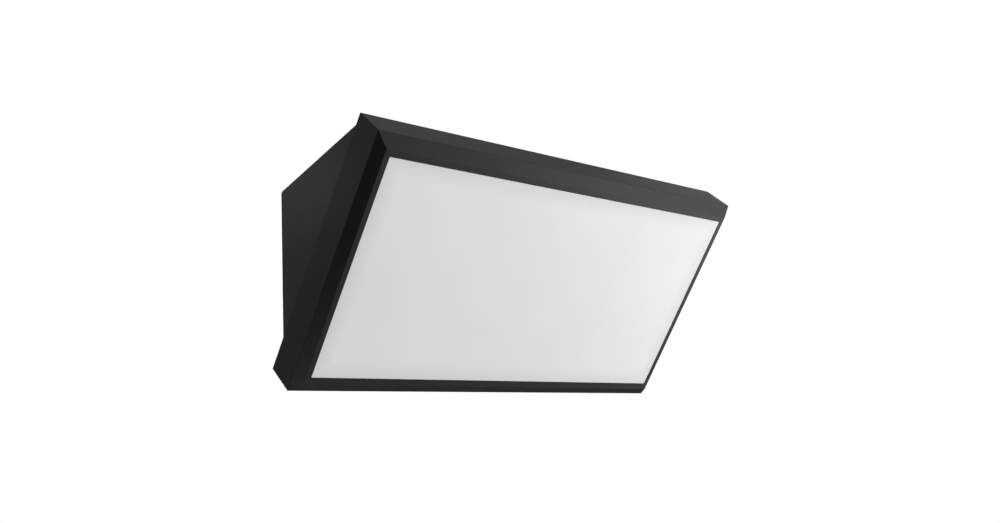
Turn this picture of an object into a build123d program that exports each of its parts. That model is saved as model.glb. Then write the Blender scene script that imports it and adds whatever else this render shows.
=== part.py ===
from build123d import *
import math
import os

# The light hangs on a wall. X runs along the wall, Z points up and the wall is the plane Y = 0,
# so a depth in front of the wall is minus Y. The origin is midway between the wall screws.
# All sizes are in millimetres.

# Front frame, measured along and square to the slanted light panel
FRAME_WIDTH = 240.0
FRAME_LENGTH = 133.5
PANEL_TILT = 45.0
SKIRT_DEPTH = 19.1
SKIRT_DRAFT = 0.8
BEVEL_RISE = 4.6
BEVEL_SIDE = 5.2
BEVEL_END = 7.2
LIP_THICKNESS = 2.0
OPENING_SIDE = 7.9
OPENING_TOP = 10.3
OPENING_FOOT = 11.0
FRAME_WALL = 2.5
FRAME_LEDGE = 5.5
FRAME_ROUND = 0.4
CATCH_WIDTH = 12.0
CATCH_REACH = 0.9
CATCH_HEIGHT = 1.1
CATCH_BACK = 0.2
CATCHES_PER_LONG_SIDE = 3

# Light panel and its seal
DIFFUSER_THICKNESS = 2.0
DIFFUSER_RECESS = 0.2
DIFFUSER_GAP = 0.15
DIFFUSER_SEAL = 0.8

# Wedge body
WALL_SEAL = 1.5
BODY_INSET_FRONT = 2.7
BODY_INSET_BACK = 6.2
BODY_OVERHANG = 1.5
BODY_WALL = 3.0
BODY_ROUND = 0.3
RECESS_DEPTH = 20.0
FLANGE = 3.0
FLANGE_GASKET = 1.5
FLANGE_GASKET_WIDTH = 2.2
WINDOW_BORDER = 22.0
WINDOW_CLEAR = 2.0
BOSS_ROOT = 0.5

# Light engine
TRAY_SHEET = 1.5
TRAY_INSET = 7.5
TRAY_RISE = 13.0
TRAY_SCREW_INSET = 15.0
BOARD_BORDER = 34.0
BOARD_LENGTH = 76.0
BOARD_THICKNESS = 1.6
BOARD_SCREW_INSET = 6.0
LED_ROWS = 4
LED_COLUMNS = 12
LED_PITCH_ACROSS = 12.6
LED_PITCH_UP = 16.0
LED_WIDTH = 3.5
LED_LENGTH = 2.8
LED_HEIGHT = 0.8

# Driver
DRIVER_LENGTH = 110.0
DRIVER_HEIGHT = 32.0
DRIVER_DEPTH = 19.5
DRIVER_SHELL = 1.6
DRIVER_COVER = 1.5
DRIVER_HEADROOM = 2.8
DRIVER_EAR = 9.0
DRIVER_EAR_HEIGHT = 12.0
DRIVER_EAR_THICKNESS = 3.0
DRIVER_STANDOFF = 3.0
CIRCUIT_STANDOFF = 2.5
CIRCUIT_THICKNESS = 1.6
CIRCUIT_POST_R = 1.6
CIRCUIT_POST_INSET = 4.8
COMPONENT_HEADROOM = 1.0
TRANSFORMER_X = 4.0
TRANSFORMER_WIDTH = 20.0
TRANSFORMER_HEIGHT = 18.0
CHOKE_X = -19.0
CHOKE_R = 7.0
CHOKE_BORE_R = 3.0
CHOKE_BELOW_ROOF = 4.5
CAPACITOR_PLACES = (-33.0, 24.0, 34.0)
CAPACITOR_R = 4.0
CAPACITOR_LIFT = 4.0
CAPACITOR_BELOW_ROOF = 1.1
HEADER_WIDTH = 7.0
HEADER_ABOVE_LEAD = 3.0

# Wall bracket and its lock screws
BRACKET_WIDTH = 150.0
BRACKET_SHEET = 1.5
BRACKET_DROP = 26.0
BRACKET_REACH = 18.0
BRACKET_BEND = 1.0
BRACKET_CORNER = 6.0
WALL_HOLE_SPACING = 120.0
WALL_HOLE_R = 2.6
WALL_SLOT_LENGTH = 14.0
CABLE_HOLE_R = 14.0
LOCK_SPACING = 104.0
LOCK_DEPTH = 11.0
LOCK_R = 1.95
LOCK_HEAD_R = 3.8
LOCK_HEAD = 2.4
LOCK_HEAD_ROUND = 1.4
LOCK_SOCKET = 2.5
LOCK_SOCKET_FLOOR = 0.8
LOCK_TIP = 1.0
NUT_SIDE = 7.0
NUT_THICKNESS = 3.2
NUT_POCKET_WALL = 2.0

# Wiring in the rear recess
TERMINAL_X = -38.0
TERMINAL_WIDTH = 20.0
TERMINAL_HEIGHT = 22.0
TERMINAL_DEPTH = 14.0
TERMINAL_POLE_PITCH = 6.6
TERMINAL_SCREW_R = 1.9
TERMINAL_SCREW_PITCH = 10.0
TERMINAL_SCREW_SUNK = 1.0
TERMINAL_SLOT = 0.8
TERMINAL_SLOT_DEPTH = 0.9
TERMINAL_WIRE_R = 1.5
CLAMP_X = -10.0
CLAMP_SPACING = 20.0
CLAMP_WIDTH = 8.0
CLAMP_BAR = 3.0
CLAMP_CORNER = 2.4
CLAMP_CLEARANCE = 7.0
VENT_R = 6.0
VENT_BORE_R = 3.0
VENT_CAP_R = 8.5
VENT_CAP = 4.0
VENT_CAP_CHAMFER = 1.0
VENT_NUT_R = 8.0
VENT_NUT = 3.0
VENT_TIP = 1.0
VENT_CLEAR = 1.0
MAINS_LEAD_R = 1.1
LED_LEAD_R = 0.8
LED_LEAD_PITCH = 3.0
LEAD_BEND = 4.0
LEAD_TAIL = 5.0
LEAD_ABOVE_CIRCUIT = 4.0
LEAD_ABOVE_FLOOR = 4.6
MAINS_GROMMET_R = 6.0
LED_GROMMET_R = 3.4
GROMMET_BRIM = 1.1
GROMMET_BRIM_THICKNESS = 1.2
GROMMET_MARGIN = 1.2
CONNECTOR_WIDTH = 7.0
CONNECTOR_LENGTH = 8.0
CONNECTOR_HEIGHT = 4.4
CONNECTOR_INSET = 1.0

# Small screws and the clearances that everything shares
SCREW_R = 1.4
SCREW_HEAD_R = 2.7
SCREW_HEAD = 2.0
SCREW_HEAD_CHAMFER = 0.6
SCREW_CROSS = 3.2
SCREW_CROSS_WIDTH = 0.7
SCREW_CROSS_DEPTH = 1.0
SCREW_GRIP = 4.0
SCREW_ROOM = 1.0
BOSS_R = 3.6
HOLE_PLAY = 0.35
THREAD_PLAY = 0.05
FIT = 0.3
SHELF_PLAY = 0.1
BLIND_END = 1.2

# How far a cut runs past the face that it opens, and how near counts as lying on a face
OVERRUN = 1.0
NEAR = 0.1

# Values that follow from the ones above
SIN = math.sin(math.radians(PANEL_TILT))
COS = math.cos(math.radians(PANEL_TILT))
BODY_HEIGHT = (FRAME_LENGTH - BODY_OVERHANG) * COS
BODY_REACH = (FRAME_LENGTH - BODY_OVERHANG) * SIN
TOP_Z = BODY_HEIGHT / 2
FOOT_Z = -BODY_HEIGHT / 2
CEILING_Z = TOP_Z - BODY_WALL
LIP = SKIRT_DEPTH + BEVEL_RISE
LEDGE = FLANGE + FLANGE_GASKET
PARTITION_BACK = WALL_SEAL + RECESS_DEPTH
PARTITION_FRONT = PARTITION_BACK + BODY_WALL
WINDOW_FOOT = (PARTITION_FRONT - WALL_SEAL) / SIN + WINDOW_CLEAR
WINDOW_TOP = FRAME_LENGTH - WINDOW_BORDER
DIFFUSER_FRONT = LIP - DIFFUSER_RECESS
DIFFUSER_BRIM = LIP - LIP_THICKNESS - DIFFUSER_SEAL
BOARD_FACE = FLANGE + TRAY_SHEET + BOARD_THICKNESS
DRIVER_TOP = CEILING_Z - DRIVER_HEADROOM
DRIVER_FOOT = DRIVER_TOP - DRIVER_HEIGHT
DRIVER_BACK = PARTITION_FRONT + DRIVER_STANDOFF
DRIVER_FRONT = DRIVER_BACK + DRIVER_DEPTH
CIRCUIT_BACK = DRIVER_BACK + DRIVER_SHELL + CIRCUIT_STANDOFF
CIRCUIT_FRONT = CIRCUIT_BACK + CIRCUIT_THICKNESS
DRIVER_SCREW_X = DRIVER_LENGTH / 2 + DRIVER_EAR / 2
DRIVER_MID_Z = (DRIVER_TOP + DRIVER_FOOT) / 2
MAINS_Z = DRIVER_FOOT + DRIVER_SHELL + TERMINAL_POLE_PITCH
MAINS_LEAD_X = -DRIVER_SCREW_X - DRIVER_EAR / 2 - LEAD_BEND
VENT_X = DRIVER_SCREW_X + DRIVER_EAR / 2 + VENT_NUT_R + VENT_CLEAR
SHELF_Z = CEILING_Z - SHELF_PLAY
NUT_SEAT = SHELF_Z - BRACKET_SHEET - FIT - NUT_THICKNESS
DRIVER_LEAD_DEPTH = CIRCUIT_FRONT + LEAD_ABOVE_CIRCUIT
TERMINAL_LEAD_DEPTH = PARTITION_BACK - TERMINAL_DEPTH / 2
BOARD_WIDTH = FRAME_WIDTH - 2 * BOARD_BORDER
LED_HOLE_ACROSS = BOARD_WIDTH / 2 + LED_GROMMET_R + GROMMET_BRIM + GROMMET_MARGIN
WINDOW_SIDE = LED_HOLE_ACROSS + LED_GROMMET_R + GROMMET_BRIM + GROMMET_MARGIN
LED_LEAD_Z = DRIVER_FOOT + DRIVER_SHELL + LEAD_ABOVE_FLOOR
LED_HOLE_UP = (DRIVER_LEAD_DEPTH - WALL_SEAL) * SIN + (LED_LEAD_Z - FOOT_Z) * COS
LED_LEAD_BEHIND = (DRIVER_LEAD_DEPTH - WALL_SEAL) * COS - (LED_LEAD_Z - FOOT_Z) * SIN
CONNECTOR_ACROSS = BOARD_WIDTH / 2 - CONNECTOR_WIDTH / 2 - CONNECTOR_INSET

PANEL = Plane(origin=(0, -WALL_SEAL, FOOT_Z), x_dir=(1, 0, 0), z_dir=(0, -COS, -SIN))


def block(x0, x1, y0, y1, z0, z1):
    """Box between two corners."""
    middle = Pos((x0 + x1) / 2, (y0 + y1) / 2, (z0 + z1) / 2)
    return middle * Box(x1 - x0, y1 - y0, z1 - z0)


def wall_block(x0, x1, depth0, depth1, z0, z1):
    """Box between two depths in front of the wall."""
    return block(x0, x1, -depth1, -depth0, z0, z1)


def peg(radius, height):
    """Cylinder that stands on its own origin."""
    return Cylinder(radius, height, align=(Align.CENTER, Align.CENTER, Align.MIN))


def off_wall(x, depth, z):
    """Place whose own Z axis points out of the wall."""
    return Pos(x, -depth, z) * Rot(90, 0, 0)


def to_wall(x, depth, z):
    """Place whose own Z axis points at the wall."""
    return Pos(x, -depth, z) * Rot(-90, 0, 0)


def in_panel(shape):
    """Carry a shape drawn on the panel (across, up the slope, outward) to its place."""
    return PANEL.location * shape


def panel_slab(side, top, foot, low, high):
    """Slab on the panel, inset from the frame's outline at the sides, top and foot."""
    half = FRAME_WIDTH / 2 - side
    return block(-half, half, foot, FRAME_LENGTH - top, low, high)


def panel_outline(side, end, level):
    """Rectangle on the panel, inset from the frame's outline, at a level above its back."""
    face = Rectangle(FRAME_WIDTH - 2 * side, FRAME_LENGTH - 2 * end)
    return Pos(0, FRAME_LENGTH / 2, level) * face


def panel_point(across, up, out):
    """Point of the panel in the light's own axes."""
    return tuple(PANEL.from_local_coords((across, up, out)))


def slope_z(depth, behind=0.0):
    """Height of the plane parallel to the panel, behind its back by the given distance."""
    return FOOT_Z + (depth - WALL_SEAL) * COS / SIN + behind / SIN


def slope_depth(z, behind=0.0):
    """Depth of that same plane at a height."""
    return WALL_SEAL + (z - FOOT_Z - behind / SIN) * SIN / COS


def body_half(depth):
    """Half width of the wedge, which tapers toward the wall."""
    share = (depth - WALL_SEAL) / BODY_REACH
    return FRAME_WIDTH / 2 - BODY_INSET_BACK + (BODY_INSET_BACK - BODY_INSET_FRONT) * share


def tapered(points, wall):
    """Prism of a side profile of (depth, height) points, inside the tapering sides less a wall."""
    near = min(depth for depth, z in points)
    far = max(depth for depth, z in points)
    half_near = body_half(near) - wall
    half_far = body_half(far) - wall
    side = Polygon(*[(-depth, z) for depth, z in points], align=None)
    plan = Polygon((-half_near, -near), (half_near, -near), (half_far, -far), (-half_far, -far), align=None)
    long_way = extrude(Plane.YZ * side, amount=FRAME_WIDTH, both=True)
    tall_way = extrude(plan, amount=FRAME_LENGTH, both=True)
    return long_way & tall_way


def screw(length):
    """Small pan-head screw with a cross recess; the head stands on the origin, the shank hangs below."""
    head = chamfer(peg(SCREW_HEAD_R, SCREW_HEAD).edges().sort_by(Axis.Z)[-1], SCREW_HEAD_CHAMFER)
    half = SCREW_CROSS / 2
    narrow = SCREW_CROSS_WIDTH / 2
    cross = block(-half, half, -narrow, narrow, SCREW_HEAD - SCREW_CROSS_DEPTH, SCREW_HEAD + OVERRUN)
    return head + Pos(0, 0, -length) * peg(SCREW_R, length) - cross - Rot(0, 0, 90) * cross


def grommet(core, bore, sheet):
    """Rubber grommet round a hole in a sheet that lies from level 0 up to the sheet's thickness."""
    brim = peg(core + GROMMET_BRIM, GROMMET_BRIM_THICKNESS)
    brims = Pos(0, 0, -GROMMET_BRIM_THICKNESS) * brim + Pos(0, 0, sheet) * brim
    body = brims + peg(core - THREAD_PLAY, sheet)
    drilled = peg(bore, sheet + 2 * GROMMET_BRIM_THICKNESS)
    return body - Pos(0, 0, -GROMMET_BRIM_THICKNESS) * drilled


def lead(points, radius):
    """Insulated lead along straight runs joined by tangent bends."""
    path = FilletPolyline(*points, radius=LEAD_BEND)
    start = Plane(origin=path @ 0, z_dir=path % 0)
    return sweep(start * Circle(radius), path=path)


def lock_places():
    """Ways across at which the lock screws stand."""
    return [-LOCK_SPACING / 2, LOCK_SPACING / 2]


def tray_screw_places():
    """Points of the panel where the tray is screwed down."""
    across = FRAME_WIDTH / 2 - TRAY_SCREW_INSET
    ups = [TRAY_SCREW_INSET, FRAME_LENGTH - TRAY_SCREW_INSET]
    return [(u, v) for v in ups for u in (-across, 0.0, across)]


def board_screw_places():
    """Points of the panel where the LED board is screwed to the tray."""
    across = BOARD_WIDTH / 2 - BOARD_SCREW_INSET
    up = BOARD_LENGTH / 2 - BOARD_SCREW_INSET
    middle = FRAME_LENGTH / 2
    return [(u, middle + v) for u in (-across, across) for v in (-up, up)]


def catch_places():
    """Points along the frame's edge with a snap catch, each with its turn about the panel's normal."""
    places = []
    for k in range(CATCHES_PER_LONG_SIDE):
        across = FRAME_WIDTH * ((k + 0.5) / CATCHES_PER_LONG_SIDE - 0.5)
        places.append((across, 0.0, 0))
        places.append((across, FRAME_LENGTH, 180))
    places.append((-FRAME_WIDTH / 2, FRAME_LENGTH / 2, -90))
    places.append((FRAME_WIDTH / 2, FRAME_LENGTH / 2, 90))
    return places


def catch_block(width, start, end, low, high):
    """One block per catch place, between two insets from the frame's outline."""
    piece = block(-width / 2, width / 2, start, end, low, high)
    return [Pos(u, v, 0) * Rot(0, 0, turn) * piece for u, v, turn in catch_places()]


def wall_bracket():
    """Bent steel bracket: plate on the wall, shelf on top with two slots open to the front."""
    half = BRACKET_WIDTH / 2
    plate = wall_block(-half, half, 0, BRACKET_SHEET, -BRACKET_DROP, SHELF_Z)
    shelf = wall_block(-half, half, 0, BRACKET_REACH, SHELF_Z - BRACKET_SHEET, SHELF_Z)
    bracket = plate + shelf
    inner = [e for e in bracket.edges().filter_by(Axis.X)
             if abs(e.center().Y + BRACKET_SHEET) < NEAR and e.center().Z > 0]
    bracket = fillet(inner, BRACKET_BEND)
    outer = [e for e in bracket.edges().filter_by(Axis.X)
             if abs(e.center().Y) < NEAR and e.center().Z > 0]
    bracket = fillet(outer, BRACKET_BEND + BRACKET_SHEET)
    corners = [e for e in bracket.edges().filter_by(Axis.Y) if e.center().Z < 0]
    corners += [e for e in bracket.edges().filter_by(Axis.Z) if e.center().Y < NEAR - BRACKET_REACH]
    bracket = fillet(corners, BRACKET_CORNER)
    slot = extrude(SlotOverall(WALL_SLOT_LENGTH, 2 * WALL_HOLE_R), amount=BRACKET_SHEET + OVERRUN, both=True)
    for x in (-WALL_HOLE_SPACING / 2, WALL_HOLE_SPACING / 2):
        bracket -= off_wall(x, 0, 0) * slot
    bracket -= off_wall(0, -OVERRUN, 0) * peg(CABLE_HOLE_R, BRACKET_SHEET + 2 * OVERRUN)
    clear = LOCK_R + HOLE_PLAY
    for x in lock_places():
        below = SHELF_Z - 2 * BRACKET_SHEET
        bracket -= wall_block(x - clear, x + clear, LOCK_DEPTH, BRACKET_REACH + OVERRUN, below, TOP_Z)
        bracket -= Pos(x, -LOCK_DEPTH, below) * peg(clear, 3 * BRACKET_SHEET)
    return bracket


def nut_pocket(x):
    """Moulded pocket on the partition that keeps a lock nut from turning."""
    outer = NUT_SIDE / 2 + FIT + NUT_POCKET_WALL
    roof = NUT_SEAT + NUT_THICKNESS - FIT
    seat = NUT_SEAT
    back = LOCK_DEPTH - NUT_SIDE / 2 - FIT - NUT_POCKET_WALL
    solid = wall_block(x - outer, x + outer, back, PARTITION_BACK, seat - NUT_POCKET_WALL, roof)
    inner = NUT_SIDE / 2 + FIT
    hollow = wall_block(x - inner, x + inner, LOCK_DEPTH - inner, PARTITION_BACK, seat, roof + OVERRUN)
    drain = Pos(x, -LOCK_DEPTH, seat - 2 * NUT_POCKET_WALL) * peg(LOCK_R + HOLE_PLAY, 3 * NUT_POCKET_WALL)
    return solid - hollow - drain


def rear_housing():
    """Moulded wedge: sealed space in front of a partition, open wiring recess behind it."""
    back = WALL_SEAL
    body = tapered([(back, FOOT_Z), (back, TOP_Z), (back + BODY_REACH, TOP_Z)], 0)
    rounds = [e for e in body.edges()
              if e.center().Z > TOP_Z - NEAR and e.center().Y > NEAR - back - BODY_REACH]
    rounds += [e for e in body.edges().filter_by(Axis.Z)]
    body = fillet(rounds, BODY_ROUND)
    recess = tapered([(back - OVERRUN, CEILING_Z), (PARTITION_BACK, CEILING_Z),
                      (PARTITION_BACK, slope_z(PARTITION_BACK, BODY_WALL)),
                      (back - OVERRUN, slope_z(back - OVERRUN, BODY_WALL))], BODY_WALL)
    sealed = tapered([(PARTITION_FRONT, slope_z(PARTITION_FRONT)), (PARTITION_FRONT, CEILING_Z),
                      (slope_depth(CEILING_Z), CEILING_Z)], BODY_WALL)
    body = body - recess - sealed
    edge = FRAME_WALL + FIT
    flange = panel_slab(edge, edge, edge, 0, FLANGE)
    flange -= block(-WINDOW_SIDE, WINDOW_SIDE, WINDOW_FOOT, WINDOW_TOP, -OVERRUN, FLANGE + OVERRUN)
    deep = CATCH_BACK + CATCH_HEIGHT + FIT
    for notch in catch_block(CATCH_WIDTH + 2 * FIT, 0, edge + CATCH_REACH, -OVERRUN, deep):
        flange -= notch
    body += in_panel(flange)
    reach = SCREW_GRIP + BODY_WALL
    through = BODY_WALL + 2 * OVERRUN
    for u, v in tray_screw_places():
        body += in_panel(Pos(u, v, -reach) * peg(BOSS_R, reach + FLANGE / 2))
        body -= in_panel(Pos(u, v, -SCREW_GRIP) * peg(SCREW_R + THREAD_PLAY, SCREW_GRIP + FLANGE + OVERRUN))
    for x in (-DRIVER_SCREW_X, DRIVER_SCREW_X):
        standoff = peg(BOSS_R, DRIVER_STANDOFF + BOSS_ROOT)
        body += off_wall(x, PARTITION_FRONT - BOSS_ROOT, DRIVER_MID_Z) * standoff
        pilot = peg(SCREW_R + THREAD_PLAY, SCREW_GRIP + OVERRUN)
        body -= off_wall(x, DRIVER_BACK - SCREW_GRIP, DRIVER_MID_Z) * pilot
    body += off_wall(TERMINAL_X, PARTITION_FRONT - BOSS_ROOT, MAINS_Z) * peg(
        BOSS_R, SCREW_GRIP + BLIND_END - BODY_WALL + BOSS_ROOT)
    body -= to_wall(TERMINAL_X, PARTITION_BACK + SCREW_GRIP, MAINS_Z) * pilot
    for z in (MAINS_Z - CLAMP_SPACING / 2, MAINS_Z + CLAMP_SPACING / 2):
        post = to_wall(CLAMP_X, PARTITION_BACK + BOSS_ROOT, z) * peg(BOSS_R, CLAMP_CLEARANCE + BOSS_ROOT)
        hole = peg(SCREW_R + THREAD_PLAY, CLAMP_CLEARANCE)
        body += post - to_wall(CLAMP_X, PARTITION_BACK - SCREW_ROOM, z) * hole
    for x in lock_places():
        body += nut_pocket(x)
        body -= Pos(x, -LOCK_DEPTH, CEILING_Z - OVERRUN) * peg(LOCK_R + HOLE_PLAY, through)
    body -= off_wall(MAINS_LEAD_X, PARTITION_BACK - OVERRUN, MAINS_Z) * peg(MAINS_GROMMET_R, through)
    body -= off_wall(VENT_X, PARTITION_BACK - OVERRUN, MAINS_Z) * peg(VENT_R, through)
    return body


def wall_seal():
    """Foam strip round the rim of the housing, pressed on the wall."""
    half = body_half(WALL_SEAL) - BODY_ROUND
    outer = wall_block(-half, half, 0, WALL_SEAL, FOOT_Z + BODY_ROUND, TOP_Z - BODY_ROUND)
    inner = body_half(WALL_SEAL) - BODY_WALL
    hole = wall_block(-inner, inner, -OVERRUN, WALL_SEAL + OVERRUN, slope_z(WALL_SEAL, BODY_WALL), CEILING_Z)
    return outer - hole


def lock_screws():
    """Socket button screws through the top of the housing, each into its nut."""
    head = fillet(peg(LOCK_HEAD_R, LOCK_HEAD).edges().sort_by(Axis.Z)[-1], LOCK_HEAD_ROUND)
    length = TOP_Z - NUT_SEAT + LOCK_TIP
    one = head + Pos(0, 0, -length) * peg(LOCK_R, length)
    socket = extrude(RegularPolygon(LOCK_SOCKET / 2, 6, major_radius=False), amount=LOCK_HEAD)
    one -= Pos(0, 0, LOCK_SOCKET_FLOOR) * socket
    return Compound(children=[Pos(x, -LOCK_DEPTH, TOP_Z) * one for x in lock_places()])


def lock_nuts():
    """Square nuts that draw the bracket's shelf up against the housing's top."""
    half = NUT_SIDE / 2
    nut = block(-half, half, -half, half, 0, NUT_THICKNESS) - peg(LOCK_R + THREAD_PLAY, NUT_THICKNESS)
    return Compound(children=[Pos(x, -LOCK_DEPTH, NUT_SEAT) * nut for x in lock_places()])


def front_frame():
    """Drafted skirt and mitred bevel round the light panel, snapped over the housing's flange."""
    brow = panel_outline(SKIRT_DRAFT, SKIRT_DRAFT, SKIRT_DEPTH)
    skirt = loft([panel_outline(0, 0, 0), brow])
    bevel = loft([brow, panel_outline(BEVEL_SIDE, BEVEL_END, LIP)])
    solid = skirt + bevel
    corners = [e for e in solid.edges() if NEAR < e.center().Z < SKIRT_DEPTH + NEAR]
    solid = fillet(corners, FRAME_ROUND)
    solid -= panel_slab(FRAME_WALL, FRAME_WALL, FRAME_WALL, -OVERRUN, LEDGE)
    solid -= panel_slab(FRAME_LEDGE, FRAME_LEDGE, FRAME_LEDGE, LEDGE - OVERRUN, LIP - LIP_THICKNESS)
    solid -= panel_slab(OPENING_SIDE, OPENING_TOP, OPENING_FOOT, 0, LIP + OVERRUN)
    start = FRAME_WALL - BOSS_ROOT
    end = FRAME_WALL + CATCH_REACH
    for catch in catch_block(CATCH_WIDTH, start, end, CATCH_BACK, CATCH_BACK + CATCH_HEIGHT):
        solid += catch
    return in_panel(solid)


def flange_gasket():
    """Silicone ring between the housing's flange and the frame's ledge."""
    outer = FRAME_WALL + 2 * FIT
    inner = outer + FLANGE_GASKET_WIDTH
    ring = panel_slab(outer, outer, outer, FLANGE, LEDGE)
    return in_panel(ring - panel_slab(inner, inner, inner, FLANGE - OVERRUN, LEDGE + OVERRUN))


def diffuser():
    """Opal pan: flat front in the frame's opening, brim behind the lip."""
    edge = FRAME_LEDGE + FIT
    back = DIFFUSER_BRIM - DIFFUSER_THICKNESS
    brim = panel_slab(edge, edge, edge, back, DIFFUSER_BRIM)
    side = OPENING_SIDE + DIFFUSER_GAP
    top = OPENING_TOP + DIFFUSER_GAP
    foot = OPENING_FOOT + DIFFUSER_GAP
    face = panel_slab(side, top, foot, back, DIFFUSER_FRONT)
    wall = DIFFUSER_THICKNESS
    hollow = panel_slab(side + wall, top + wall, foot + wall, back - OVERRUN, DIFFUSER_FRONT - wall)
    return in_panel(brim + face - hollow)


def diffuser_seal():
    """Silicone bead between the diffuser's brim and the frame's lip."""
    outer = FRAME_LEDGE + 2 * FIT
    low = DIFFUSER_BRIM
    high = low + DIFFUSER_SEAL
    ring = panel_slab(outer, outer, outer, low, high)
    hole = panel_slab(OPENING_SIDE - FIT, OPENING_TOP - FIT, OPENING_FOOT - FIT,
                      low - OVERRUN, high + OVERRUN)
    return in_panel(ring - hole)


def led_tray():
    """White aluminium pan that carries the LED board and spreads its heat."""
    outer = TRAY_INSET
    inner = TRAY_INSET + TRAY_SHEET
    base = FLANGE + TRAY_SHEET
    pan = panel_slab(outer, outer, outer, FLANGE, FLANGE + TRAY_RISE)
    pan -= panel_slab(inner, inner, inner, base, FLANGE + TRAY_RISE + OVERRUN)
    below = FLANGE - OVERRUN
    through = TRAY_SHEET + 2 * OVERRUN
    for u, v in tray_screw_places():
        pan -= Pos(u, v, below) * peg(SCREW_R + HOLE_PLAY, through)
    for u, v in board_screw_places():
        pan -= Pos(u, v, below) * peg(SCREW_R + THREAD_PLAY, through)
    pan -= Pos(LED_HOLE_ACROSS, LED_HOLE_UP, below) * peg(LED_GROMMET_R, through)
    return in_panel(pan)


def tray_screws():
    """Screws through the tray into the housing's bosses."""
    one = screw(TRAY_SHEET + FLANGE + SCREW_GRIP - SCREW_ROOM)
    places = [Pos(u, v, FLANGE + TRAY_SHEET) * one for u, v in tray_screw_places()]
    return Compound(children=[in_panel(piece) for piece in places])


def led_board():
    """Metal-core board with white solder resist."""
    half = BOARD_WIDTH / 2
    middle = FRAME_LENGTH / 2
    low = FLANGE + TRAY_SHEET
    board = block(-half, half, middle - BOARD_LENGTH / 2, middle + BOARD_LENGTH / 2, low, BOARD_FACE)
    for u, v in board_screw_places():
        board -= Pos(u, v, low - OVERRUN) * peg(SCREW_R + HOLE_PLAY, BOARD_THICKNESS + 2 * OVERRUN)
    return in_panel(board)


def leds():
    """LED packages in rows on the board."""
    package = block(-LED_WIDTH / 2, LED_WIDTH / 2, -LED_LENGTH / 2, LED_LENGTH / 2, 0, LED_HEIGHT)
    pieces = []
    for row in range(LED_ROWS):
        for column in range(LED_COLUMNS):
            u = (column - (LED_COLUMNS - 1) / 2) * LED_PITCH_ACROSS
            v = FRAME_LENGTH / 2 + (row - (LED_ROWS - 1) / 2) * LED_PITCH_UP
            pieces.append(in_panel(Pos(u, v, BOARD_FACE) * package))
    return Compound(children=pieces)


def board_screws():
    """Screws that hold the LED board on the tray."""
    one = screw(BOARD_THICKNESS + TRAY_SHEET)
    places = [Pos(u, v, BOARD_FACE) * one for u, v in board_screw_places()]
    return Compound(children=[in_panel(piece) for piece in places])


def led_lead_offsets():
    """Ways up the slope of the two LED leads, from their common hole."""
    return [LED_LEAD_PITCH / 2, -LED_LEAD_PITCH / 2]


def led_lead_level():
    """Level of the LED leads where they meet the board's connector."""
    return BOARD_FACE + CONNECTOR_HEIGHT / 2


def led_connector():
    """Push-in connector on the board with two wire holes."""
    half = CONNECTOR_WIDTH / 2
    low = LED_HOLE_UP - CONNECTOR_LENGTH / 2
    high = LED_HOLE_UP + CONNECTOR_LENGTH / 2
    body = block(CONNECTOR_ACROSS - half, CONNECTOR_ACROSS + half, low, high,
                 BOARD_FACE, BOARD_FACE + CONNECTOR_HEIGHT)
    for offset in led_lead_offsets():
        hole = Pos(CONNECTOR_ACROSS, LED_HOLE_UP + offset, led_lead_level()) * Rot(0, 90, 0)
        body -= hole * peg(LED_LEAD_R + THREAD_PLAY, CONNECTOR_WIDTH)
    return in_panel(body)


def led_lead(offset):
    """Lead from the driver, round through the tray's grommet, to the board's connector."""
    up = LED_HOLE_UP + offset
    behind = panel_point(LED_HOLE_ACROSS, up, LED_LEAD_BEHIND)
    start = (DRIVER_LENGTH / 2 - LEAD_TAIL, behind[1], behind[2])
    turn = panel_point(LED_HOLE_ACROSS, up, led_lead_level())
    end = panel_point(CONNECTOR_ACROSS, up, led_lead_level())
    return lead([start, behind, turn, end], LED_LEAD_R)


def tray_grommet():
    """Grommet that guards the LED leads in the tray."""
    bore = LED_LEAD_PITCH / 2 + LED_LEAD_R + THREAD_PLAY
    return in_panel(Pos(LED_HOLE_ACROSS, LED_HOLE_UP, FLANGE) * grommet(LED_GROMMET_R, bore, TRAY_SHEET))


def driver_case():
    """Moulded box of the driver with a fixing ear at each end, open to the front."""
    half = DRIVER_LENGTH / 2
    shell = DRIVER_SHELL
    case = wall_block(-half, half, DRIVER_BACK, DRIVER_FRONT, DRIVER_FOOT, DRIVER_TOP)
    case -= wall_block(-half + shell, half - shell, DRIVER_BACK + shell, DRIVER_FRONT + OVERRUN,
                       DRIVER_FOOT + shell, DRIVER_TOP - shell)
    for x in (-DRIVER_SCREW_X, DRIVER_SCREW_X):
        side = DRIVER_EAR / 2
        tall = DRIVER_EAR_HEIGHT / 2
        case += wall_block(x - side, x + side, DRIVER_BACK, DRIVER_BACK + DRIVER_EAR_THICKNESS,
                           DRIVER_MID_Z - tall, DRIVER_MID_Z + tall)
        hole = peg(SCREW_R + HOLE_PLAY, DRIVER_EAR_THICKNESS + 2 * OVERRUN)
        case -= off_wall(x, DRIVER_BACK - OVERRUN, DRIVER_MID_Z) * hole
    inset = CIRCUIT_POST_INSET
    post = peg(CIRCUIT_POST_R, BOSS_ROOT + CIRCUIT_STANDOFF)
    for x in (-half + inset, half - inset):
        for z in (DRIVER_FOOT + inset, DRIVER_TOP - inset):
            case += off_wall(x, DRIVER_BACK + shell - BOSS_ROOT, z) * post
    for z in mains_heights():
        case -= off_end(-half, DRIVER_LEAD_DEPTH, z) * peg(MAINS_LEAD_R + THREAD_PLAY, 2 * shell)
    for offset in led_lead_offsets():
        behind = panel_point(LED_HOLE_ACROSS, LED_HOLE_UP + offset, LED_LEAD_BEHIND)
        case -= off_end(half, -behind[1], behind[2]) * peg(LED_LEAD_R + THREAD_PLAY, 2 * shell)
    return case


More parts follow.
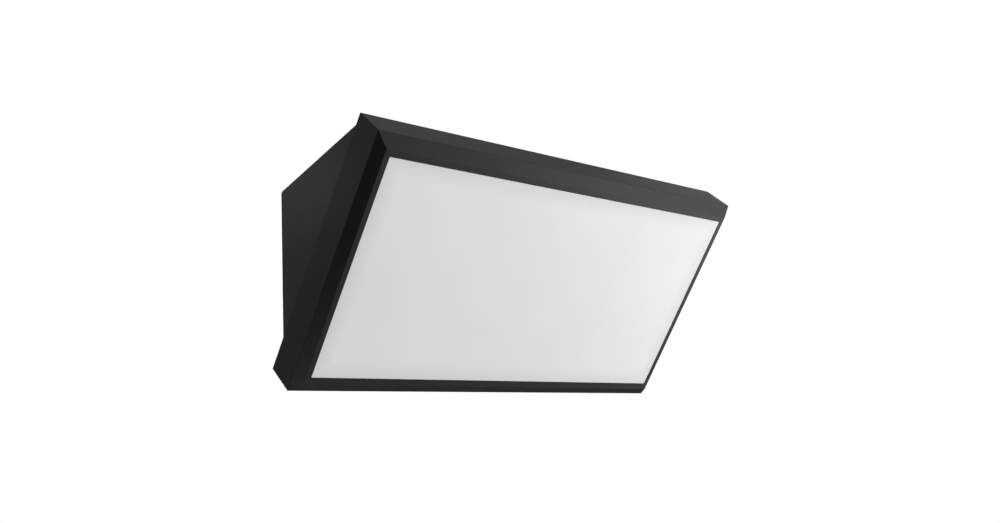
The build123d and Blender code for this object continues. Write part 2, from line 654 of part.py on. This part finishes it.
def off_end(x, depth, z):
    """Place on an end wall of the driver, with its own Z axis along X and its origin outside the wall."""
    return Pos(x - DRIVER_SHELL, -depth, z) * Rot(0, 90, 0)


def driver_cover():
    """Lid set into the front of the driver's box."""
    half = DRIVER_LENGTH / 2 - DRIVER_SHELL
    plug = wall_block(-half, half, DRIVER_FRONT - DRIVER_COVER, DRIVER_FRONT,
                      DRIVER_FOOT + DRIVER_SHELL, DRIVER_TOP - DRIVER_SHELL)
    return plug


def driver_circuit():
    """Circuit board of the driver on its four posts."""
    half = DRIVER_LENGTH / 2 - DRIVER_SHELL - FIT
    return wall_block(-half, half, CIRCUIT_BACK, CIRCUIT_FRONT,
                      DRIVER_FOOT + DRIVER_SHELL + FIT, DRIVER_TOP - DRIVER_SHELL - FIT)


def driver_components():
    """Transformer, choke, capacitors and wire headers standing on the driver's board."""
    roof = DRIVER_FRONT - DRIVER_COVER - COMPONENT_HEADROOM
    tall = roof - CIRCUIT_FRONT
    end = DRIVER_LENGTH / 2 - LEAD_TAIL
    low = DRIVER_FOOT + DRIVER_SHELL + 2 * FIT
    top = DRIVER_LEAD_DEPTH + HEADER_ABOVE_LEAD
    middle = DRIVER_MID_Z
    wide = TRANSFORMER_WIDTH / 2
    high = TRANSFORMER_HEIGHT / 2
    transformer = wall_block(TRANSFORMER_X - wide, TRANSFORMER_X + wide, CIRCUIT_FRONT, roof,
                             middle - high, middle + high)
    core = tall - CHOKE_BELOW_ROOF
    choke = off_wall(CHOKE_X, CIRCUIT_FRONT, middle) * (peg(CHOKE_R, core) - peg(CHOKE_BORE_R, core))
    can = peg(CAPACITOR_R, tall - CAPACITOR_BELOW_ROOF)
    capacitors = [off_wall(x, CIRCUIT_FRONT, middle + CAPACITOR_LIFT) * can for x in CAPACITOR_PLACES]
    mains_header = wall_block(-end, HEADER_WIDTH - end, CIRCUIT_FRONT, top,
                              low, MAINS_Z + TERMINAL_POLE_PITCH)
    led_header = wall_block(end - HEADER_WIDTH, end, CIRCUIT_FRONT, top,
                            low, LED_LEAD_Z + LEAD_ABOVE_FLOOR)
    return Compound(children=[transformer, choke, mains_header, led_header] + capacitors)


def driver_screws():
    """Screws through the driver's ears into the partition's bosses."""
    one = screw(DRIVER_EAR_THICKNESS + SCREW_GRIP - SCREW_ROOM)
    depth = DRIVER_BACK + DRIVER_EAR_THICKNESS
    places = [off_wall(x, depth, DRIVER_MID_Z) for x in (-DRIVER_SCREW_X, DRIVER_SCREW_X)]
    return Compound(children=[place * one for place in places])


def mains_heights():
    """Heights of the live and neutral leads."""
    return [MAINS_Z + TERMINAL_POLE_PITCH / 2, MAINS_Z - TERMINAL_POLE_PITCH / 2]


def terminal_block():
    """Two-pole screw terminal on the back of the partition."""
    half = TERMINAL_WIDTH / 2
    front = PARTITION_BACK
    back = PARTITION_BACK - TERMINAL_DEPTH
    body = wall_block(TERMINAL_X - half, TERMINAL_X + half, back, front,
                      MAINS_Z - TERMINAL_HEIGHT / 2, MAINS_Z + TERMINAL_HEIGHT / 2)
    for z in mains_heights():
        run = Pos(TERMINAL_X - half - OVERRUN, -TERMINAL_LEAD_DEPTH, z) * Rot(0, 90, 0)
        body -= run * peg(TERMINAL_WIRE_R, TERMINAL_WIDTH + 2 * OVERRUN)
        for side in (-1, 1):
            x = TERMINAL_X + side * TERMINAL_SCREW_PITCH / 2
            body -= to_wall(x, TERMINAL_LEAD_DEPTH, z) * peg(TERMINAL_SCREW_R + THREAD_PLAY, TERMINAL_DEPTH)
    hole = peg(SCREW_R + HOLE_PLAY, TERMINAL_DEPTH + 2 * OVERRUN)
    body -= to_wall(TERMINAL_X, front + OVERRUN, MAINS_Z) * hole
    sink = peg(SCREW_HEAD_R + THREAD_PLAY, SCREW_HEAD + OVERRUN)
    body -= to_wall(TERMINAL_X, back + SCREW_HEAD, MAINS_Z) * sink
    return body


def terminal_screws():
    """Clamp screws of the terminal, one for each wire end."""
    pinch = TERMINAL_LEAD_DEPTH - MAINS_LEAD_R - THREAD_PLAY
    length = pinch - (PARTITION_BACK - TERMINAL_DEPTH) - TERMINAL_SCREW_SUNK
    one = peg(TERMINAL_SCREW_R, length)
    narrow = TERMINAL_SLOT / 2
    slot = block(-TERMINAL_SCREW_R, TERMINAL_SCREW_R, -narrow, narrow,
                 length - TERMINAL_SLOT_DEPTH, length + OVERRUN)
    pieces = []
    for z in mains_heights():
        for side in (-1, 1):
            x = TERMINAL_X + side * TERMINAL_SCREW_PITCH / 2
            pieces.append(to_wall(x, pinch, z) * (one - slot))
    return Compound(children=pieces)


def terminal_fixing():
    """Screw that holds the terminal on the partition."""
    head = PARTITION_BACK - TERMINAL_DEPTH + SCREW_HEAD
    return to_wall(TERMINAL_X, head, MAINS_Z) * screw(PARTITION_BACK + SCREW_GRIP - SCREW_ROOM - head)


def mains_lead(z):
    """Lead from the terminal, through the partition's grommet, into the driver."""
    start = (TERMINAL_X - TERMINAL_WIDTH / 2 + LEAD_TAIL, -TERMINAL_LEAD_DEPTH, z)
    turn = (MAINS_LEAD_X, -TERMINAL_LEAD_DEPTH, z)
    front = (MAINS_LEAD_X, -DRIVER_LEAD_DEPTH, z)
    end = (-DRIVER_LENGTH / 2 + LEAD_TAIL, -DRIVER_LEAD_DEPTH, z)
    return lead([start, turn, front, end], MAINS_LEAD_R)


def partition_grommet():
    """Grommet that seals the mains leads in the partition."""
    bore = TERMINAL_POLE_PITCH / 2 + MAINS_LEAD_R + THREAD_PLAY
    return off_wall(MAINS_LEAD_X, PARTITION_BACK, MAINS_Z) * grommet(MAINS_GROMMET_R, bore, BODY_WALL)


def cable_clamp():
    """Bar across two posts that grips the supply cable beside the terminal."""
    half = CLAMP_WIDTH / 2
    tall = CLAMP_SPACING / 2 + BOSS_R
    depth = PARTITION_BACK - CLAMP_CLEARANCE
    bar = wall_block(CLAMP_X - half, CLAMP_X + half, depth - CLAMP_BAR, depth, MAINS_Z - tall, MAINS_Z + tall)
    bar = fillet(bar.edges().filter_by(Axis.Y), CLAMP_CORNER)
    for z in (MAINS_Z - CLAMP_SPACING / 2, MAINS_Z + CLAMP_SPACING / 2):
        bar -= to_wall(CLAMP_X, depth + OVERRUN, z) * peg(SCREW_R + HOLE_PLAY, CLAMP_BAR + 2 * OVERRUN)
    return bar


def clamp_screws():
    """Screws of the cable clamp."""
    one = screw(CLAMP_BAR + CLAMP_CLEARANCE - 2 * SCREW_ROOM)
    depth = PARTITION_BACK - CLAMP_CLEARANCE - CLAMP_BAR
    heights = (MAINS_Z - CLAMP_SPACING / 2, MAINS_Z + CLAMP_SPACING / 2)
    return Compound(children=[to_wall(CLAMP_X, depth, z) * one for z in heights])


def vent_plug():
    """Breather plug that lets the sealed space equalise without letting water in."""
    cap = chamfer(peg(VENT_CAP_R, VENT_CAP).edges().sort_by(Axis.Z)[-1], VENT_CAP_CHAMFER)
    stem = BODY_WALL + VENT_NUT + VENT_TIP
    plug = cap + Pos(0, 0, -stem) * peg(VENT_R - HOLE_PLAY, stem)
    plug -= Pos(0, 0, -stem - OVERRUN) * peg(VENT_BORE_R, stem)
    return to_wall(VENT_X, PARTITION_BACK, MAINS_Z) * plug


def vent_nut():
    """Hexagon nut of the breather plug, inside the sealed space."""
    bore = VENT_R - HOLE_PLAY + THREAD_PLAY
    nut = extrude(RegularPolygon(VENT_NUT_R, 6), amount=VENT_NUT) - peg(bore, VENT_NUT)
    return off_wall(VENT_X, PARTITION_FRONT, MAINS_Z) * nut


PARTS = {
    "wall_bracket": wall_bracket(),
    "rear_housing": rear_housing(),
    "wall_seal": wall_seal(),
    "lock_screws": lock_screws(),
    "lock_nuts": lock_nuts(),
    "front_frame": front_frame(),
    "flange_gasket": flange_gasket(),
    "diffuser": diffuser(),
    "diffuser_seal": diffuser_seal(),
    "led_tray": led_tray(),
    "tray_screws": tray_screws(),
    "led_board": led_board(),
    "leds": leds(),
    "board_screws": board_screws(),
    "led_connector": led_connector(),
    "led_lead_positive": led_lead(led_lead_offsets()[0]),
    "led_lead_negative": led_lead(led_lead_offsets()[1]),
    "tray_grommet": tray_grommet(),
    "driver_case": driver_case(),
    "driver_cover": driver_cover(),
    "driver_circuit": driver_circuit(),
    "driver_components": driver_components(),
    "driver_screws": driver_screws(),
    "terminal_block": terminal_block(),
    "terminal_screws": terminal_screws(),
    "terminal_fixing": terminal_fixing(),
    "live_lead": mains_lead(mains_heights()[0]),
    "neutral_lead": mains_lead(mains_heights()[1]),
    "partition_grommet": partition_grommet(),
    "cable_clamp": cable_clamp(),
    "clamp_screws": clamp_screws(),
    "vent_plug": vent_plug(),
    "vent_nut": vent_nut(),
}

os.makedirs("parts", exist_ok=True)
for node, shape in PARTS.items():
    export_step(shape, f"parts/{node}.step")
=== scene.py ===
import math

import bpy
import numpy as np
from mathutils import Matrix, Vector


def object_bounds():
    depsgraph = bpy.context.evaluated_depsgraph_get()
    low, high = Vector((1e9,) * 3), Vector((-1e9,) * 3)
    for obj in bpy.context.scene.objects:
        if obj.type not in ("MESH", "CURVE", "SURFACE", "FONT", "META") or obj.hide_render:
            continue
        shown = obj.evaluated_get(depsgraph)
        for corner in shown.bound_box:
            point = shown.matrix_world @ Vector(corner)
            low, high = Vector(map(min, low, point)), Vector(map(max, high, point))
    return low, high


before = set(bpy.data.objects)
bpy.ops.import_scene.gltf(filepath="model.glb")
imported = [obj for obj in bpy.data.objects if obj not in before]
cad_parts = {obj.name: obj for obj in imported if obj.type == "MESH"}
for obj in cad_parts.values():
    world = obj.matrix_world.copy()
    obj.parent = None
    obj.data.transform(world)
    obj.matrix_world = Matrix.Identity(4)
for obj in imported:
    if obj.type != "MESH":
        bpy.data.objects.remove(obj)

CAD_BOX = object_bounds()
MM = 0.001

# Camera, solved from the edges of the frame, the panel and the body in the photograph:
# lens and centre in pixels, turns in degrees, place and sensor in millimetres
PHOTO_WIDTH = 1000.0
PHOTO_HEIGHT = 523.0
FOCAL_PIXELS = 862.6
CENTRE_PIXEL = (505.1, 189.6)
CAMERA_YAW = 40.43
CAMERA_PITCH = 21.46
CAMERA_ROLL = -6.64
CAMERA_PLACE = (-295.3, -393.9, -130.6)
SENSOR = 36.0

# Light panel: its slope in degrees, and its face's half sizes, middle and the width of its painted edge shade
# in millimetres
PANEL_TILT = 45.0
PANEL_HALF_ACROSS = 112.0
PANEL_HALF_UP = 56.0
PANEL_MIDDLE = (0.0, -65.6, -15.8)
PANEL_SHADE_BAND = 10.0

# Floor: its drop below the light, its radius and the ends of its fade to white in millimetres, its corners
FLOOR_DROP = 600.0
FLOOR_RADIUS = 2500.0
FLOOR_FADE_START = 900.0
FLOOR_FADE_END = 2375.0
FLOOR_CORNERS = 64

# White of the background, and its share in the floor that the camera sees and in what gloss reflects
WHITE = "#ffffff"
WHITE_ON_FLOOR = 0.65
WHITE_IN_GLOSS = 0.1

# Soft reflectors all round: direction, how narrow each is, and its brightness
REFLECTORS = (
    ("front_right", (0.62, -0.78, -0.05), 3.0, 0.90),
    ("below", (0.35, -0.25, -0.90), 6.0, 0.75),
    ("overhead", (0.0, 0.0, 1.0), 2.0, 0.50),
    ("left", (-1.0, 0.0, 0.2), 3.0, 0.10),
    ("rear", (0.0, 1.0, 0.1), 2.0, 0.15),
)

# Lamps aimed at the light: place and side in metres, and brightness
SOFTBOXES = (
    ("front_softbox", (0.70, -0.90, -0.20), 0.50, 4.4),
    ("near_front_softbox", (0.30, -0.35, 0.08), 0.20, 2.0),
    ("left_front_softbox", (-0.12, -0.28, 0.00), 0.12, 0.9),
    ("low_right_softbox", (0.45, -0.30, -0.25), 0.30, 3.4),
    ("high_right_softbox", (0.45, 0.00, 0.30), 0.20, 0.4),
    ("low_left_card", (-0.25, 0.00, -0.22), 0.08, 3.5),
    ("left_rear_card", (-0.19, 0.10, 0.10), 0.05, 0.6),
    ("rear_softbox", (0.28, 1.20, 0.05), 0.50, 2.0),
    ("rear_right_softbox", (0.70, 1.00, 0.15), 0.60, 1.6),
    ("rear_high_softbox", (0.30, 0.90, 0.60), 0.50, 2.0),
)

# Values between which a noise pattern mostly stays
NOISE_LOW = 0.3
NOISE_HIGH = 0.7

# Colour sockets of a Mix node: its two inputs and its result
MIX_FIRST = 6
MIX_SECOND = 7
MIX_RESULT = 2

# Shader values of plain plastics, rubbers and metals
PLASTIC = {"IOR": 1.5, "Specular IOR Level": 0.45}
RUBBER = {"IOR": 1.43, "Specular IOR Level": 0.3}
METAL = {"Metallic": 1.0}


def srgb(code):
    """Linear colour, with alpha, of an sRGB hex value, by the curve that defines sRGB."""
    parts = [int(code[k:k + 2], 16) / 255 for k in (1, 3, 5)]
    linear = [c / 12.92 if c <= 0.04045 else ((c + 0.055) / 1.055) ** 2.4 for c in parts]
    return (*linear, 1.0)


def cells(millimetres):
    """Pattern scale that makes its cells about this many millimetres, for coordinates in metres."""
    return 1.0 / (millimetres * MM)


def add(tree, kind, values=None, links=None, ramp=(), **settings):
    """Add a node with its settings, its sockets' values and links, and its colour ramp's stops."""
    node = tree.nodes.new(kind)
    for key, value in settings.items():
        setattr(node, key, value)
    for key, value in (values or {}).items():
        node.inputs[key].default_value = value
    for key, source in (links or {}).items():
        tree.links.new(source, node.inputs[key])
    for k, (position, code) in enumerate(ramp):
        node.color_ramp.elements[k].position = position
        node.color_ramp.elements[k].color = srgb(code)
    return node


def start(name):
    """Empty material; gives it, its tree and the piece's own coordinates."""
    material = bpy.data.materials.new(name)
    material.use_nodes = True
    material.node_tree.nodes.clear()
    place = add(material.node_tree, "ShaderNodeTexCoord").outputs["Object"]
    return material, material.node_tree, place


def close(material, constants, colour, grain, gloss=None, relief=None):
    """Close a material with one shader that takes a colour, and a grain that shows in gloss and relief.

    gloss is the roughness at the grain's low and high values, relief its strength and depth in millimetres.
    """
    tree = material.node_tree
    links = {"Base Color": colour}
    if gloss:
        ends = {"From Min": NOISE_LOW, "From Max": NOISE_HIGH, "To Min": gloss[0], "To Max": gloss[1]}
        rough = add(tree, "ShaderNodeMapRange", ends, {"Value": grain})
        links["Roughness"] = rough.outputs["Result"]
    if relief:
        strength, depth = relief
        bump = add(tree, "ShaderNodeBump", {"Strength": strength, "Distance": depth * MM}, {"Height": grain})
        links["Normal"] = bump.outputs["Normal"]
    shader = add(tree, "ShaderNodeBsdfPrincipled", constants, links)
    add(tree, "ShaderNodeOutputMaterial", links={"Surface": shader.outputs["BSDF"]})
    return material


def moulded(name, dark, pale, gloss, constants=PLASTIC, grain=1.0, cloud=14.0, relief=(0.3, 0.04)):
    """Moulded, coated or extruded skin: one colour that clouds a little, with a fine grain.

    Sizes are in millimetres. The real grain, mostly 0.1 to 0.3 mm, is drawn wider so that it shows.
    """
    material, tree, place = start(name)
    clouds = add(tree, "ShaderNodeTexNoise", {"Scale": cells(cloud), "Detail": 2.0}, {"Vector": place})
    tone = add(tree, "ShaderNodeValToRGB", links={"Fac": clouds.outputs["Fac"]},
               ramp=[(NOISE_LOW, dark), (NOISE_HIGH, pale)])
    pits = add(tree, "ShaderNodeTexNoise", {"Scale": cells(grain), "Detail": 3.0, "Roughness": 0.6},
               {"Vector": place})
    return close(material, constants, tone.outputs["Color"], pits.outputs["Fac"], gloss, relief)


def black_polycarbonate():
    """Black polycarbonate moulded in a spark-eroded tool.

    An even, dry satin black. The real grain of about 0.3 mm is drawn at 0.9 mm so that it shows.
    """
    return moulded("black_polycarbonate_moulded", "#0f0f10", "#141414", (0.42, 0.50),
                   {"IOR": 1.58, "Specular IOR Level": 0.2}, grain=0.9, cloud=40.0, relief=(0.3, 0.05))


def opal_polycarbonate(haze=55.0, grain=1.2):
    """Opal polycarbonate moulded with a fine matt face.

    Milky white with a soft sheen and no clear reflection. Its colour greys a little toward the frame, as
    painted shade where the frame's lip shades it. Sizes are in millimetres. The real grain of about 0.2 mm is
    drawn wider to show.
    """
    material, tree, place = start("opal_polycarbonate_moulded")
    turned = add(tree, "ShaderNodeMapping",
                 {"Location": Vector(PANEL_MIDDLE) * MM, "Rotation": (math.radians(PANEL_TILT), 0.0, 0.0)},
                 {"Vector": place}, vector_type="TEXTURE")
    axes = add(tree, "ShaderNodeSeparateXYZ", links={"Vector": turned.outputs["Vector"]})
    insets = []
    for axis, half in (("X", PANEL_HALF_ACROSS), ("Z", PANEL_HALF_UP)):
        away = add(tree, "ShaderNodeMath", links={0: axes.outputs[axis]}, operation="ABSOLUTE")
        inset = add(tree, "ShaderNodeMath", {0: half * MM}, {1: away.outputs[0]}, operation="SUBTRACT")
        insets.append(inset.outputs[0])
    nearest = add(tree, "ShaderNodeMath", links=dict(enumerate(insets)), operation="MINIMUM")
    # Painted shade: the panel's colour greys toward #dedede within this band next to the frame
    edge_shade = add(tree, "ShaderNodeMapRange", {"From Min": 0.0, "From Max": PANEL_SHADE_BAND * MM},
                 {"Value": nearest.outputs[0]}, interpolation_type="SMOOTHSTEP")
    clouds = add(tree, "ShaderNodeTexNoise", {"Scale": cells(haze), "Detail": 1.0}, {"Vector": place})
    milk = add(tree, "ShaderNodeValToRGB", links={"Fac": clouds.outputs["Fac"]},
               ramp=[(NOISE_LOW, "#e7e7e7"), (NOISE_HIGH, "#eaeaea")])
    tone = add(tree, "ShaderNodeMix", {MIX_FIRST: srgb("#dedede")},
               {"Factor": edge_shade.outputs["Result"], MIX_SECOND: milk.outputs["Color"]}, data_type="RGBA")
    pits = add(tree, "ShaderNodeTexNoise", {"Scale": cells(grain), "Detail": 2.0}, {"Vector": place})
    return close(material, {"IOR": 1.58, "Specular IOR Level": 0.3}, tone.outputs[MIX_RESULT],
                 pits.outputs["Fac"], gloss=(0.42, 0.5), relief=(0.2, 0.02))


def zinc_plated_sheet(mark=1.1, stretch=25.0, bloom=18.0):
    """Cold-rolled steel sheet, bent and zinc plated.

    Cool grey metal with faint lengthwise rolling marks and a cloudy bloom in the plating. Sizes are in
    millimetres. The real marks of about 0.2 mm are drawn wider to show.
    """
    material, tree, place = start("zinc_plated_steel_rolled")
    along = add(tree, "ShaderNodeMapping", {"Scale": (1 / stretch, 1.0, 1.0)}, {"Vector": place})
    marks = add(tree, "ShaderNodeTexNoise", {"Scale": cells(mark), "Detail": 4.0, "Roughness": 0.6},
                {"Vector": along.outputs["Vector"]})
    clouds = add(tree, "ShaderNodeTexNoise", {"Scale": cells(bloom), "Detail": 3.0}, {"Vector": place})
    tone = add(tree, "ShaderNodeValToRGB", links={"Fac": clouds.outputs["Fac"]},
               ramp=[(NOISE_LOW, "#b0b4b6"), (NOISE_HIGH, "#bfc2c3")])
    return close(material, METAL, tone.outputs["Color"], marks.outputs["Fac"],
                 gloss=(0.36, 0.45), relief=(0.1, 0.03))


def headed_steel(name, dark, pale, gloss, mottle=1.3):
    """Cold-headed and tumbled fasteners: bright metal with a fine mottle from the barrel.

    The real dents, about 0.3 mm wide, are drawn at 1.3 mm so that they show.
    """
    material, tree, place = start(name)
    dents = add(tree, "ShaderNodeTexNoise", {"Scale": cells(mottle), "Detail": 3.0}, {"Vector": place})
    tone = add(tree, "ShaderNodeValToRGB", links={"Fac": dents.outputs["Fac"]},
               ramp=[(NOISE_LOW, dark), (NOISE_HIGH, pale)])
    return close(material, METAL, tone.outputs["Color"], dents.outputs["Fac"], gloss)


def foam_rubber(pore=0.8):
    """Black closed-cell foam cut from sheet: dull, with a skin of cut cells about 0.8 mm across."""
    material, tree, place = start("foam_rubber_cut")
    pores = add(tree, "ShaderNodeTexVoronoi", {"Scale": cells(pore)}, {"Vector": place})
    # Painted shade: the hollow middle of each cut cell is drawn darker, following its depth in the relief
    tone = add(tree, "ShaderNodeValToRGB", links={"Fac": pores.outputs["Distance"]},
               ramp=[(0.15, "#151515"), (0.6, "#2c2c2d")])
    return close(material, {"Roughness": 0.9, "Specular IOR Level": 0.2}, tone.outputs["Color"],
                 pores.outputs["Distance"], relief=(0.6, 0.25))


def matt_paper(fibre=4.0):
    """Seamless white paper, rolled: even, soft and without gloss.

    For the camera it fades to the white of the background, so that the floor shows no edge. The fibres are
    drawn 4 mm wide, coarser than real ones, so that they show.
    """
    material, tree, place = start("matt_white_paper_rolled")
    axes = add(tree, "ShaderNodeSeparateXYZ", links={"Vector": place})
    flat = add(tree, "ShaderNodeCombineXYZ", links={"X": axes.outputs["X"], "Y": axes.outputs["Y"]})
    away = add(tree, "ShaderNodeVectorMath", links={0: flat.outputs["Vector"]}, operation="LENGTH")
    fade = add(tree, "ShaderNodeMapRange",
               {"From Min": FLOOR_FADE_START * MM, "From Max": FLOOR_FADE_END * MM, "To Min": WHITE_ON_FLOOR},
               {"Value": away.outputs["Value"]}, interpolation_type="SMOOTHSTEP")
    path = add(tree, "ShaderNodeLightPath")
    seen = add(tree, "ShaderNodeMath", links={0: fade.outputs["Result"], 1: path.outputs["Is Camera Ray"]},
               operation="MULTIPLY")
    fibres = add(tree, "ShaderNodeTexNoise", {"Scale": cells(fibre), "Detail": 3.0}, {"Vector": place})
    tone = add(tree, "ShaderNodeValToRGB", links={"Fac": fibres.outputs["Fac"]},
               ramp=[(NOISE_LOW, "#eeeeed"), (NOISE_HIGH, "#f0f0ef")])
    paper = add(tree, "ShaderNodeBsdfDiffuse", links={"Color": tone.outputs["Color"]})
    white = add(tree, "ShaderNodeEmission", {"Color": srgb(WHITE), "Strength": 1.0})
    mix = add(tree, "ShaderNodeMixShader",
              links={0: seen.outputs[0], 1: paper.outputs[0], 2: white.outputs[0]})
    add(tree, "ShaderNodeOutputMaterial", links={"Surface": mix.outputs[0]})
    return material


def dress(material, *nodes):
    """Give pieces this material in place of their plain one."""
    for node in nodes:
        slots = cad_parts[node].data.materials
        slots.clear()
        slots.append(material)


def dress_enclosure():
    """Materials of the housing, frame, light panel and bracket, and of what seals them."""
    dress(black_polycarbonate(), "front_frame", "rear_housing")
    dress(opal_polycarbonate(), "diffuser")
    dress(zinc_plated_sheet(), "wall_bracket")
    dress(foam_rubber(), "wall_seal")

    # Silicone rubber: soft grey with a dull sheen
    silicone = moulded("silicone_rubber_moulded", "#9c9e9d", "#aaacab", (0.5, 0.62), RUBBER)
    dress(silicone, "flange_gasket", "diffuser_seal")

    # Black rubber: deep black, almost without gloss
    rubber = moulded("black_rubber_moulded", "#131313", "#1b1b1b", (0.55, 0.68), RUBBER)
    dress(rubber, "tray_grommet", "partition_grommet")


def dress_fasteners():
    """Materials of the screws and nuts."""
    # Stainless steel: bright, slightly warm metal
    stainless = headed_steel("stainless_steel_headed", "#b0afac", "#c9c8c5", (0.2, 0.32))
    dress(stainless, "lock_screws", "lock_nuts")

    # Zinc plated steel: duller, with a faint green cast
    plated = headed_steel("zinc_plated_steel_headed", "#a6a9a7", "#bfc1bd", (0.28, 0.4))
    dress(plated, "tray_screws", "board_screws", "driver_screws", "terminal_screws", "terminal_fixing",
          "clamp_screws")


def dress_electrics():
    """Materials of the light source, its driver, the wiring and their fittings."""
    # Natural nylon: creamy white with a waxy sheen
    nylon = moulded("natural_nylon_moulded", "#d8d6cd", "#e4e2da", (0.4, 0.52))
    dress(nylon, "led_connector", "terminal_block", "cable_clamp")

    # White polycarbonate: clean white satin
    case = moulded("white_polycarbonate_moulded", "#dcdcd9", "#e7e7e4", (0.38, 0.5))
    dress(case, "driver_case", "driver_cover")

    # Black nylon: charcoal satin
    charcoal = moulded("black_nylon_moulded", "#191919", "#232324", (0.38, 0.5))
    dress(charcoal, "driver_components", "vent_plug", "vent_nut")

    # Powder coat on aluminium: bright white with a slight orange peel
    coat = moulded("white_aluminium_powder_coated", "#e6e6e4", "#efefed", (0.42, 0.55), grain=1.4)
    dress(coat, "led_tray")

    # Solder resist: smooth, bright white with some gloss
    dress(moulded("white_solder_resist_printed", "#e9e9e4", "#f1f1ec", (0.3, 0.42)), "led_board")

    # Glass-fibre laminate: smooth, glossy dark green
    dress(moulded("green_laminate_pressed", "#1c5529", "#256a35", (0.3, 0.42)), "driver_circuit")

    # Phosphor in silicone: opaque yellow with a moist gloss
    phosphor = moulded("yellow_phosphor_silicone_cast", "#e2c145", "#f0d97c", (0.3, 0.4), RUBBER, grain=0.4)
    dress(phosphor, "leds")

    # Vinyl over copper: an even colour with a smooth satin sheen
    for node, hue, dark, pale in (
        ("live_lead", "brown", "#56301d", "#673c27"),
        ("neutral_lead", "blue", "#1c4894", "#2757a9"),
        ("led_lead_positive", "red", "#a01b18", "#b62623"),
        ("led_lead_negative", "black", "#141414", "#1d1d1d"),
    ):
        dress(moulded(f"{hue}_vinyl_extruded", dark, pale, (0.36, 0.48), grain=0.8), node)


def make_camera():
    """Camera with the photograph's place, turn, lens and framing."""
    yaw, pitch, roll = (math.radians(angle) for angle in (CAMERA_YAW, CAMERA_PITCH, CAMERA_ROLL))
    ahead = Vector((math.sin(yaw) * math.cos(pitch), math.cos(yaw) * math.cos(pitch), math.sin(pitch)))
    level = Vector((math.cos(yaw), -math.sin(yaw), 0.0))
    upright = level.cross(ahead)
    right = math.cos(roll) * level + math.sin(roll) * upright
    up = math.cos(roll) * upright - math.sin(roll) * level
    data = bpy.data.cameras.new("photo_camera")
    data.sensor_width = SENSOR
    data.lens = SENSOR * FOCAL_PIXELS / PHOTO_WIDTH
    data.shift_x = (PHOTO_WIDTH / 2 - CENTRE_PIXEL[0]) / PHOTO_WIDTH
    data.shift_y = (CENTRE_PIXEL[1] - PHOTO_HEIGHT / 2) / PHOTO_WIDTH
    camera = bpy.data.objects.new("photo_camera", data)
    turn = Matrix((right, up, -ahead)).transposed().to_4x4()
    camera.matrix_world = Matrix.Translation(Vector(CAMERA_PLACE) * MM) @ turn
    bpy.context.collection.objects.link(camera)
    bpy.context.scene.camera = camera


def make_floor():
    """Pale round floor below the light: one face whose corners lie evenly round a circle.

    Gloss doesn't see it, and reflects the room's white and its reflectors instead.
    """
    turns = np.linspace(0.0, 2 * math.pi, FLOOR_CORNERS, endpoint=False)
    rim = np.stack([np.cos(turns), np.sin(turns), np.zeros(FLOOR_CORNERS)], axis=1) * FLOOR_RADIUS * MM
    points = rim + np.array([0.0, 0.0, CAD_BOX[0].z - FLOOR_DROP * MM])
    mesh = bpy.data.meshes.new("studio_floor")
    mesh.from_pydata(points.tolist(), [], [list(range(FLOOR_CORNERS))])
    mesh.materials.append(matt_paper())
    floor = bpy.data.objects.new("studio_floor", mesh)
    floor.visible_glossy = False
    bpy.context.collection.objects.link(floor)


def make_room():
    """White behind everything for the camera and through clear pieces, and soft reflectors for other rays.

    Gloss sees some of the white too. A reflector's brightness falls off as a power of the cosine of the
    angle from its direction.
    """
    world = bpy.data.worlds.new("studio")
    bpy.context.scene.world = world
    world.use_nodes = True
    tree = world.node_tree
    tree.nodes.clear()
    way = add(tree, "ShaderNodeTexCoord").outputs["Generated"]
    path = add(tree, "ShaderNodeLightPath")
    total = add(tree, "ShaderNodeMath", {1: WHITE_IN_GLOSS}, {0: path.outputs["Is Glossy Ray"]},
                operation="MULTIPLY", label="white_in_gloss")
    for name, axis, narrow, level in REFLECTORS:
        facing = add(tree, "ShaderNodeVectorMath", {1: Vector(axis).normalized()}, {0: way},
                     operation="DOT_PRODUCT")
        front = add(tree, "ShaderNodeMath", {1: 0.0}, {0: facing.outputs["Value"]}, operation="MAXIMUM")
        lobe = add(tree, "ShaderNodeMath", {1: narrow}, {0: front.outputs[0]}, operation="POWER")
        total = add(tree, "ShaderNodeMath", {1: level}, {0: lobe.outputs[0], 2: total.outputs[0]},
                    operation="MULTIPLY_ADD", label=name)
    seen = add(tree, "ShaderNodeMath", operation="MAXIMUM",
               links={0: path.outputs["Is Camera Ray"], 1: path.outputs["Is Transmission Ray"]})
    room = add(tree, "ShaderNodeBackground", {"Color": srgb(WHITE)}, {"Strength": total.outputs[0]})
    white = add(tree, "ShaderNodeBackground", {"Color": srgb(WHITE), "Strength": 1.0})
    mix = add(tree, "ShaderNodeMixShader",
              links={0: seen.outputs[0], 1: room.outputs[0], 2: white.outputs[0]})
    add(tree, "ShaderNodeOutputWorld", links={"Surface": mix.outputs[0]})


def make_softbox(name, place, side, brightness):
    """Square area lamp aimed at the light's middle; its power is brightness times pi times its area."""
    data = bpy.data.lights.new(name, "AREA")
    data.shape = "SQUARE"
    data.size = side
    data.energy = brightness * math.pi * side * side
    lamp = bpy.data.objects.new(name, data)
    middle = (CAD_BOX[0] + CAD_BOX[1]) / 2
    lamp.location = place
    lamp.rotation_euler = (middle - Vector(place)).to_track_quat("-Z", "Y").to_euler()
    lamp.visible_camera = False
    bpy.context.collection.objects.link(lamp)


dress_enclosure()
dress_fasteners()
dress_electrics()
make_camera()
make_floor()
make_room()
for softbox in SOFTBOXES:
    make_softbox(*softbox)
bpy.context.scene.view_settings.view_transform = "Standard"
